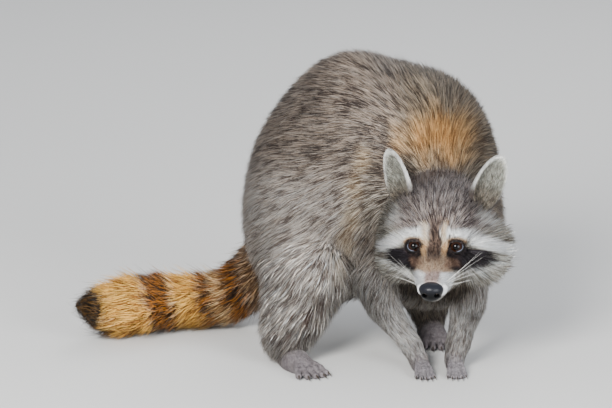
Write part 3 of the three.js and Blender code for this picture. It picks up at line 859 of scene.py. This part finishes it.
def roughen(made, scale, strength, distance_mm, kind="ShaderNodeTexNoise"):
    """Bumps across a material, from noise in the object's own space, scale per metre."""
    nodes, links = made.node_tree.nodes, made.node_tree.links
    place = nodes.new("ShaderNodeTexCoord")
    texture = nodes.new(kind)
    texture.inputs["Scale"].default_value = scale
    bump = nodes.new("ShaderNodeBump")
    bump.inputs["Strength"].default_value = strength
    bump.inputs["Distance"].default_value = distance_mm * MM
    links.new(place.outputs["Object"], texture.inputs["Vector"])
    height = "Distance" if kind == "ShaderNodeTexVoronoi" else "Fac"
    links.new(texture.outputs[height], bump.inputs["Height"])
    links.new(bump.outputs["Normal"], nodes["Principled BSDF"].inputs["Normal"])
    return made


def piece(obj, made, nodes=()):
    obj.data.materials.append(made)
    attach(obj, "root")
    if nodes:
        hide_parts(*nodes)
    return obj


# ---- Skin -----------------------------------------------------------------------------------------------
COARSE = 1.0


def lattice(stops):
    return stepped([(place, step * COARSE) for place, step in stops])


SKIN_X = lattice([(-400, 4.6), (-205, 2.1), (-110, 3.4), (-45, 1.3), (42, 2.2), (75, 4), (100, 5)])
SKIN_Y = lattice([(-126, 1.9), (-46, 1.3), (-10, 2.4), (50, 3.6), (62, 2.3), (104, 4.4), (210, 4)])
SKIN_Z = lattice([(-3, 1.3), (18, 3), (100, 1.9), (200, 3.4), (245, 4.4), (320, 5)])


def skin_field(points):
    return whole_form(points, 1)


skin_points, skin_quads = surface_net(skin_field, SKIN_X, SKIN_Y, SKIN_Z)
skin_points = settled(skin_field, skin_points, 0.9)
skin_coat = pelage(skin_points, *region_weights(skin_points))
skin_tone = skin_coat.dark + (skin_coat.pale - skin_coat.dark) * (skin_coat.share * 0.8)[:, None]
fleck = waves(skin_points, 3, 41) * 0.12 + 0.85
skin = mesh_object("skin", skin_points, skin_quads)
tint(skin, skin_tone * fleck[:, None])
FLESH = [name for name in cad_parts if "claw" not in name and not name.startswith(("eye", "nose"))]
piece(skin, roughen(material("skin_fur", roughness=0.75, specular=0.2), 900, 0.4, 0.5), FLESH)


# ---- Coat -----------------------------------------------------------------------------------------------
# For each region: hairs per square millimetre, length, width, and how far the hair turns from its lie.
COAT = {
    "trunk": (0.92, 22, 1.15, 0.2),
    "head": (1.0, 12, 1.0, 0.14),
    "ears": (2.6, 6.5, 0.5, 0.3),
    "tail": (0.8, 34, 1.3, 0.22),
}
for leg_name in LEGS:
    hind = leg_name.startswith("hind")
    COAT[leg_name] = (0.95, 24, 1.1, 0.18) if hind else (1.35, 21, 0.95, 0.18)
    COAT[leg_name + "_foot"] = (1.9, 3.4, 0.42, 0.08)


def blended_value(names, weight, column):
    return sum(w * COAT[name][column] for name, w in zip(names, weight))


def head_length(q):
    """Length of the hair over the head: shortest at the nose and round the eyes, longest in the ruffs."""
    away = np.linalg.norm(q - SNOUT, axis=1)
    length = np.interp(away, [12, 40, 62, 90, 130], [2.4, 4.2, 6.5, 12, 20])
    ruff = smooth(np.abs(q[:, 0]), 34, 60) * smooth(-q[:, 2], -24, 6) * smooth(q[:, 1], -8, 26)
    length += ruff * 14
    eye = np.minimum(*[eye_distance(q, side) for side in SIDES])
    return length * np.interp(eye, [8, 13, 24], [0.4, 0.6, 1])


def head_density(length):
    return np.interp(length, [2, 5, 10, 18, 30], [3.4, 2.6, 1.6, 1.2, 1.0])


def sow(points, faces, rng):
    """Roots spread over the skin's faces, as many as each place's coat asks for."""
    corners = points[faces]
    area = np.linalg.norm(np.cross(corners[:, 2] - corners[:, 0], corners[:, 3] - corners[:, 1]), axis=1) / 2
    middle = corners.mean(1)
    names, weight = region_weights(middle)
    density = blended_value(names, weight, 0)
    on_head = weight[names.index("head")]
    density = density + on_head * (head_density(head_length(to_head(middle))) - COAT["head"][0])
    count = rng.poisson(np.maximum(area * density, 0) * (1))
    picked = np.repeat(np.arange(len(faces)), count)
    u, v = rng.random((2, len(picked)))
    c = corners[picked]
    return (
        c[:, 0] * ((1 - u) * (1 - v))[:, None]
        + c[:, 1] * (u * (1 - v))[:, None]
        + c[:, 2] * (u * v)[:, None]
        + c[:, 3] * ((1 - u) * v)[:, None]
    )


def outline(points):
    return whole_form(points, 0)


def lay(points, ways, walk, height):
    """Points moved along the coat and set at a height, in millimetres, below (-) or above the outline."""
    moved = points + ways * walk[:, None]
    grade = slope(outline, moved)
    grade /= np.maximum((grade**2).sum(1, keepdims=True), 0.3)
    moved = moved - grade * (outline(moved) - height)[:, None]
    return moved, unit(grade)


LEAST_SLANT = 1.55  # a hair's length as a share of the coat's depth, at least


def grow(rng):
    roots = sow(skin_points, skin_quads, rng)
    q = to_head(roots)
    eye_gap = np.minimum(*[eye_distance(q, side) for side in SIDES])
    bare = (np.minimum(*[lid_gap(q, side) for side in SIDES]) < 0.16) & (eye_gap < EYE_RADIUS + 2)
    bare |= (eye_gap < EYE_RADIUS + 0.5) | (roots[:, 2] < 1.5) | (mouth_form(q) < 1)
    bare |= nose_form(q) < 0.4
    roots = roots[~bare]
    q = to_head(roots)
    names, weight = region_weights(roots)
    on = dict(zip(names, weight))
    length = blended_value(names, weight, 1) + on["head"] * (head_length(q) - COAT["head"][1])
    foreleg = on["foreleg_right"] + on["foreleg_left"]
    length *= 1 - foreleg * (1 - np.interp(roots[:, 2], [14, 70], [0.35, 1]))  # shorter towards the wrist
    width = blended_value(names, weight, 2)
    width += on["head"] * (np.interp(head_length(q), [2, 6, 14, 26], [0.55, 0.75, 1.0, 1.3]) - COAT["head"][2])
    turn = blended_value(names, weight, 3)
    way = sum(w[:, None] * LIES[name](roots) for name, w in zip(names, weight))
    depth = np.maximum(-outline(roots), 0.4)
    normal = unit(slope(skin_field, roots))
    way = unit(way - (way * normal).sum(1, keepdims=True) * normal)
    side = np.cross(normal, way)
    wander = turn * (waves(roots, 26, 51) * 0.9 + rng.normal(size=len(roots)) * 0.7)
    way = unit(way + side * wander[:, None])
    length = length * rng.uniform(0.7, 1.15, len(roots))
    length = np.maximum(length, depth * LEAST_SLANT)  # a short hair in a deep coat would stand straight out
    loft = rng.uniform(0.4, 1.1, len(roots))
    stray = rng.random(len(roots)) < 0.06
    loft[stray] += 0.4
    width[stray] *= 0.6
    tip, _ = lay(roots, way, length * 0.94, -depth * (1 - loft))
    bent = length > STRAIGHT_BELOW
    mid = (roots + tip) / 2
    mid[bent], mid_up = lay(roots[bent], way[bent], length[bent] * 0.46, -depth[bent] * (1 - loft[bent] * 0.62))
    way_mid = unit(way[bent] - (way[bent] * mid_up).sum(1, keepdims=True) * mid_up)
    tip[bent], _ = lay(mid[bent], way_mid, length[bent] * 0.5, -depth[bent] * (1 - loft[bent]))
    tip[:, 2] = np.maximum(tip[:, 2], 0.5)
    mid[:, 2] = np.maximum(mid[:, 2], 0.9)
    return roots, mid, tip, normal, length, width, names, weight


LOCK = 9  # tufts to a lock


def locks(roots, rng):
    """For each tuft, the number of the tuft in the middle of its lock."""
    guides = rng.choice(len(roots), max(1, len(roots) // LOCK), replace=False)
    tree = kdtree.KDTree(len(guides))
    for number, guide in enumerate(guides):
        tree.insert(roots[guide], number)
    tree.balance()
    return np.array([guides[tree.find(root)[1]] for root in roots])


def gathered(tips, length, own):
    """Tips drawn together into locks."""
    pull = np.interp(length, [4, 12, 22, 34], [0.05, 0.2, 0.3, 0.45])[:, None]
    pull = np.where(np.linalg.norm(tips[own] - tips, axis=1, keepdims=True) < 14, pull, 0)
    return tips + (tips[own] - tips) * pull


STRAIGHT_BELOW = 26.5  # hairs shorter than this are straight
RNG = np.random.default_rng(11)
roots, mids, tips, normals, lengths, widths, region_names, region_weight = grow(RNG)
lock_of = locks(roots, RNG)
tips = gathered(tips, lengths, lock_of)


LOCK_TONE = 0.5  # share of tufts that are as pale or dark as the middle one of their lock


def tuft_colours(rng):
    """Colours of each tuft at its root, its middle and its tip, from the markings and their painted shade where it
    shows.
    """
    coat = pelage(roots + (tips - roots) * 0.6, region_names, region_weight)
    chance = rng.random(len(roots))
    chance = np.where(rng.random(len(roots)) < LOCK_TONE, chance[lock_of], chance)
    paleness = smooth(coat.share - chance, -0.1, 0.1)[:, None]
    hue = 1 + rng.normal(size=(len(roots), 1)) * np.array([0.05, 0.0, -0.05]) + rng.normal(size=(len(roots), 1)) * 0.08
    body = (coat.dark + (coat.pale - coat.dark) * paleness) * hue
    depth_shade = np.interp(lengths, [4, 12], [0.85, 0.55])[:, None]
    under = (coat.dark + (coat.pale - coat.dark) * (coat.share * 0.5)[:, None]) * depth_shade
    end = body * np.where(rng.random(len(roots)) < 0.25, 0.6, 1.05)[:, None]
    return np.clip(under, 0, 0.95), np.clip(body, 0, 0.95), np.clip(end, 0, 0.95)


tones = tuft_colours(RNG)

SPIKE = 2 * math.pi / 3


def spikes(picked, bent):
    """Closed three-sided tufts: each a root ring, a middle ring if it is bent, and a tip."""
    up = unit(mids[picked] - roots[picked])
    side = unit(np.cross(up, normals[picked]) + 1e-6)
    over = unit(np.cross(side, up))
    rings = [(roots[picked] - up * 0.6, 0.5), (mids[picked], 0.42)] if bent else [(roots[picked] - up * 0.4, 0.5)]
    layers = []
    for centre, share in rings:
        radius = widths[picked] * share
        for corner in range(3):
            angle = corner * SPIKE + 0.5
            offset = side * math.cos(angle) + over * (math.sin(angle) * 0.55)
            layers.append(centre + offset * radius[:, None])
    layers.append(tips[picked])
    points = np.stack(layers, axis=1)
    tip = points.shape[1] - 1
    faces = [(0, 2, 1)]
    for ring in range(tip // 3 - 1):
        a = ring * 3
        for corner in range(3):
            b = (corner + 1) % 3
            faces += [(a + corner, a + b, a + 3 + b), (a + corner, a + 3 + b, a + 3 + corner)]
    last = tip - 3
    faces += [(last, last + 1, tip), (last + 1, last + 2, tip), (last + 2, last, tip)]
    step = np.arange(len(picked))[:, None, None] * points.shape[1]
    tone = [tones[0][picked]] * 3 + ([tones[1][picked]] * 3 if bent else []) + [tones[2][picked]]
    return points.reshape(-1, 3), (np.array(faces)[None] + step).reshape(-1, 3), np.stack(tone, 1).reshape(-1, 3)


PATCH = 0.003  # size of a tuft's patch on the bake map


def unwrapped(picked, line):
    """Each root's place on the skin unrolled round a line through the region, with even spacing."""
    points = roots[picked]
    station = chain_lie(points, line)[1]
    knots = np.array(line, float)[:, :3]
    centre = np.stack([np.interp(station, np.arange(len(knots)), knots[:, n]) for n in range(3)], 1)
    outward = points - centre
    across = np.where(np.abs(knots[-1, 0] - knots[0, 0]) > np.abs(knots[-1, 1] - knots[0, 1]), 1, 0)
    angle = np.arctan2(outward[:, across], outward[:, 2])
    columns = int(math.ceil(math.sqrt(len(picked))))
    column = np.argsort(np.argsort(station, kind="stable")) // columns
    order = np.lexsort((angle, column))
    row = np.empty(len(picked), int)
    row[order] = np.arange(len(picked)) - column[order] * columns
    return (np.stack([column, row], 1) + 0.5) / columns


SPINE_LINE = [(0, -10, 170, 1), (-10, 50, 170, 1), (-30, 100, 170, 1), (-90, 108, 170, 1), (-180, 110, 130, 1)]
HEAD_LINE = [(*from_head((0, -60, -20)), 1), (*from_head((0, 80, 0)), 1)]
EAR_LINE = [(*from_head((-60, 40, 60)), 1), (*from_head((60, 40, 60)), 1)]
LINES = {"trunk": SPINE_LINE, "head": HEAD_LINE, "ears": EAR_LINE, "tail": TAIL}
SLOTS = {"trunk": "fur_grey", "head": "fur_face", "ears": "fur_ear", "tail": "fur_tail"}
MOST_TRIANGLES = 196000

fur = {
    "fur_grey": material("coat_grey", roughness=0.55, specular=0.28),
    "fur_face": material("coat_face", roughness=0.6, specular=0.18),
    "fur_tail": material("coat_tail", roughness=0.55, specular=0.28),
    "fur_ear": material("coat_ear", roughness=0.6, specular=0.25),
}
fur["paw_skin"] = material("coat_paw", roughness=0.6, specular=0.25)

region = np.argmax(region_weight, axis=0)
bent = lengths > STRAIGHT_BELOW
for number, region_name in enumerate(region_names):
    line = LINES.get(region_name) or LEGS[region_name.replace("_foot", "")]
    slot = SLOTS.get(region_name, "paw_skin" if region_name.endswith("_foot") else "fur_grey")
    for is_bent in (True, False):
        picked = np.flatnonzero((region == number) & (bent == is_bent))
        if len(picked) < 10:
            continue
        picked = picked[np.argsort(chain_lie(roots[picked], line)[1], kind="stable")]
        parts = math.ceil(len(picked) * (10 if is_bent else 4) / MOST_TRIANGLES)
        for part, share in enumerate(np.array_split(picked, parts)):
            points, faces, colours = spikes(share, is_bent)
            name = f"coat_{region_name}_{'long' if is_bent else 'short'}_{part + 1}"
            coat_piece = mesh_object(name, points, faces)
            tint(coat_piece, colours)
            place = unwrapped(share, line) - PATCH / 2
            corners = len(points) // len(share)
            ring = np.arange(corners)
            patch = np.stack([(ring % 3) / 2, (ring // 3) / max(1, corners // 3)], 1) * PATCH
            bake_map(coat_piece, (place[:, None, :] + patch[None]).reshape(-1, 2))
            piece(coat_piece, fur[slot])
            print(name, len(share), "tufts", len(faces), "triangles")


# ---- Eyes, lids, nose, claws and whiskers ---------------------------------------------------------------
def grid_faces(rows, columns):
    """Quads of a grid that is closed along its columns."""
    faces = []
    for i in range(rows - 1):
        for j in range(columns):
            k = (j + 1) % columns
            faces.append((i * columns + j, i * columns + k, (i + 1) * columns + k, (i + 1) * columns + j))
    return faces


def eye_piece(side):
    ahead, right, up = gaze_axes()
    rows, columns = 40, 48
    points = []
    for i in range(rows):
        polar = math.pi * (i + 0.02) / (rows - 0.96)
        bulge = EYE_RADIUS + 0.35 * math.exp(-((polar / 0.5) ** 2))
        for j in range(columns):
            around = 2 * math.pi * j / columns
            way = ahead * math.cos(polar) + (right * math.cos(around) + up * math.sin(around)) * math.sin(polar)
            points.append(eye_centre(side) + way * bulge)
    points = np.array(points)
    obj = mesh_object(f"eyeball_{SIDE_NAME[side]}", from_head(points), grid_faces(rows, columns))
    polar = np.repeat(np.pi * (np.arange(rows) + 0.02) / (rows - 0.96), columns)
    tone = np.tile(srgb(33, 16, 7), (len(points), 1))
    tone[polar < 0.42] = srgb(3, 2, 2)
    tone[(polar > 0.8) | (lid_gap(points, side) > 0)] = srgb(14, 10, 9)
    local = unit(points - eye_centre(side))
    low_outer = smooth(local @ right * side * -0.75 - local @ up * 0.6, 0.3, 0.55)
    painted_rim_reflection = low_outer * band(lid_gap(points, side), -0.12, 0, 0.03)  # a painted reflection of the light along the moist edge of the lower lid
    tone += painted_rim_reflection[:, None] * (srgb(112, 119, 136) - tone)
    tint(obj, tone)
    return obj


def lid_piece(side):
    """The rim of the lids: a soft-edged ring that rises from the eyeball and sinks under the fur."""
    ahead, right, up = gaze_axes()
    wide, high = LID_TURN
    profile = [(-0.03, -0.5), (-0.02, 0.3), (0.02, 0.7), (0.09, 1.0), (0.19, 1.1), (0.3, 0.8), (0.38, -0.2), (0.4, -1.6)]
    columns = 64
    points = []
    for turn, rise in profile + [(0.2, -1.6)]:
        for j in range(columns):
            around = 2 * math.pi * j / columns
            c, s = math.cos(around), math.sin(around)
            corner = 0.18 * max(0, c * side) ** 6 - 0.05 * max(0, s) ** 2
            opening = 1 / math.sqrt((c / wide) ** 2 + (s / high) ** 2) + corner + turn
            way = ahead * math.cos(opening) + (right * c + up * s) * math.sin(opening)
            points.append(eye_centre(side) + way * (EYE_RADIUS + rise))
    rows = len(profile) + 1
    faces = grid_faces(rows, columns)
    for j in range(columns):
        k = (j + 1) % columns
        faces.append(((rows - 1) * columns + j, (rows - 1) * columns + k, k, j))
    return mesh_object(f"eyelids_{SIDE_NAME[side]}", from_head(points), faces)


def nose_field(q):
    pad = nose_form(q)
    groove = round_cone(q, (0, -69, -31), (0, -64.5, -47), 1.3, 1.3)
    pad = -smooth_min(-pad, groove, 1.2)
    for side in SIDES:
        nostril = round_cone(q, (side * 4.9, -68, -36), (side * 7, -58, -35), 2.7, 1.9)
        slit = round_cone(q, (side * 7.5, -64, -36.5), (side * 12.5, -55, -38), 1.4, 0.9)
        pad = -smooth_min(-pad, smooth_min(nostril, slit, 1.5), 0.9)
    return pad


NOSE_TOP, NOSE_BOTTOM = -27, -37  # heights between which the painted reflection of the sky on the top of the pad fades into the black leather below


def nose_piece():
    xs = np.arange(-15, 15.5, 0.62)
    ys = np.arange(-70, -40, 0.62)
    zs = np.arange(-47, -20, 0.62)
    points, quads = surface_net(nose_field, xs, ys, zs)
    points = settled(nose_field, points, 0.3)
    obj = mesh_object("nose_pad", from_head(points), quads)
    # black leather, lighter and bluer towards the top of the pad: a painted reflection of the sky
    top = smooth(points[:, 2], NOSE_BOTTOM, NOSE_TOP)[:, None]
    tint(obj, srgb(3, 3, 4) + (srgb(24, 25, 31) - srgb(3, 3, 4)) * top)
    return obj


def tube(points, radii, around=8):
    """A closed tube through points."""
    points = np.array(points, float)
    along = unit(np.gradient(points, axis=0))
    side = unit(np.cross(along, np.array([0.13, 0.31, 0.94])))
    over = np.cross(side, along)
    rings = []
    for centre, s, o, radius in zip(points, side, over, radii):
        for j in range(around):
            turn = 2 * math.pi * j / around
            rings.append(centre + (s * math.cos(turn) + o * math.sin(turn)) * radius)
    quads = grid_faces(len(points), around)
    return np.array(rings), quads


def joined(name, parts):
    points, faces, start = [], [], 0
    for part_points, part_faces in parts:
        points.append(part_points)
        faces.append(np.array(part_faces) + start)
        start += len(part_points)
    return mesh_object(name, np.vstack(points), np.vstack(faces))


def claw(place):
    steps = np.linspace(0, 1, 9)
    points, radii = [], []
    for s in steps:
        t = 0.88 + 0.5 * s
        height = 1.05 + 0.25 * s - 1.05 * s**2
        points.append(toe_station(place, t, height, 0)[:3])
        radii.append(place[3] * (0.3 * (1 - s) ** 0.6 + 0.01))
    return tube(points, radii)


def whisker(root, way, length, sweep, droop):
    """A hair from the muzzle that bows back along the cheek."""
    steps = np.linspace(0, 1, 14)
    bow = np.array([0, sweep, -droop])
    points = [np.array(root) + (unit(way) * s + bow * s * s) * length for s in steps]
    return tube(from_head(points), 0.11 * (1 - steps) ** 0.7 + 0.015, 5)


def whiskers(side, rng):
    parts = []
    for row in range(3):
        for column in range(3 - row // 2):
            root = (side * (11.5 + column * 2), -42 + column * 6 + row, -28.5 - row * 2)
            way = np.array([side * (0.8 + 0.05 * column), 0.35 + 0.1 * column, 0.68 - 0.26 * row])
            way += rng.normal(size=3) * 0.07
            parts.append(whisker(root, way, rng.uniform(26, 50), rng.uniform(0.1, 0.35), rng.uniform(-0.05, 0.2)))
    return joined(f"whiskers_{SIDE_NAME[side]}", parts)


eye_gloss = material("eye_gloss", roughness=0.04, specular=0.16)
lid_skin = roughen(material("lid_skin", (12, 10, 10), roughness=0.6, specular=0.15), 1600, 0.2, 0.3)
nose_leather = roughen(
    material("nose_leather", roughness=0.3, specular=0.18), 1100, 0.3, 0.25, "ShaderNodeTexVoronoi"
)
claw_horn = material("claw_horn", (52, 44, 38), roughness=0.35, specular=0.5)
whisker_white = material("whisker_white", (238, 236, 230), roughness=0.4, specular=0.4)

for side in SIDES:
    name = SIDE_NAME[side]
    piece(eye_piece(side), eye_gloss, ["eye_" + name])
    piece(lid_piece(side), lid_skin)
    piece(whiskers(side, RNG), whisker_white)
piece(nose_piece(), nose_leather, ["nose"])
for name, foot in FEET.items():
    for number, place in enumerate(digit_places(foot)):
        points, quads = claw(place)
        claw_piece = mesh_object(f"{name}_nail_{number + 1}", points, quads)
        piece(claw_piece, claw_horn, [f"{name}_claw_{number + 1}"])


# ---- Floor, light and camera ----------------------------------------------------------------------------
def stage_plane():
    bpy.ops.mesh.primitive_plane_add(size=12, location=(0, 0, 0))
    floor = bpy.context.object
    floor.name = "floor"
    floor.data.materials.append(material("floor_pale", (204, 204, 202), roughness=0.9, specular=0.1))


def area_light(name, place_mm, size_m, power, colour=(1, 1, 1)):
    data = bpy.data.lights.new(name, "AREA")
    data.shape = "DISK"
    data.size = size_m
    data.energy = power
    data.color = colour
    light = bpy.data.objects.new(name, data)
    light.location = to_frame_m(place_mm)
    aim = Vector(to_frame_m((-100, 60, 130))) - light.location
    light.rotation_euler = aim.to_track_quat("-Z", "Y").to_euler()
    bpy.context.scene.collection.objects.link(light)


stage_plane()
area_light("key", (-1000, -2300, 1500), 1.0, 166, (1, 0.985, 0.96))
area_light("fill", (1500, -2000, 800), 1.6, 78, (0.96, 0.98, 1))
area_light("back", (300, 1700, 1500), 1.2, 14)
world = bpy.data.worlds.new("studio")
world.use_nodes = True
world.node_tree.nodes["Background"].inputs["Color"].default_value = (0.9, 0.93, 1, 1)
world.node_tree.nodes["Background"].inputs["Strength"].default_value = 0.78
bpy.context.scene.world = world

CAMERA_AIM = np.array([-139.0, 0.0, 177.3])
CAMERA_AWAY = 5200.0
CAMERA_RISE = math.radians(14)
FRAME_WIDTH = 630.0
SENSOR = 36.0
camera_data = bpy.data.cameras.new("camera")
camera_data.sensor_width = SENSOR
camera_data.lens = SENSOR * CAMERA_AWAY / FRAME_WIDTH
camera_data.clip_end = 50
camera = bpy.data.objects.new("camera", camera_data)
away = np.array([0, -math.cos(CAMERA_RISE), math.sin(CAMERA_RISE)]) * CAMERA_AWAY
camera.location = to_frame_m(CAMERA_AIM + away)
look = Vector(to_frame_m(CAMERA_AIM)) - camera.location
camera.rotation_euler = look.to_track_quat("-Z", "Y").to_euler()
bpy.context.scene.collection.objects.link(camera)
bpy.context.scene.camera = camera
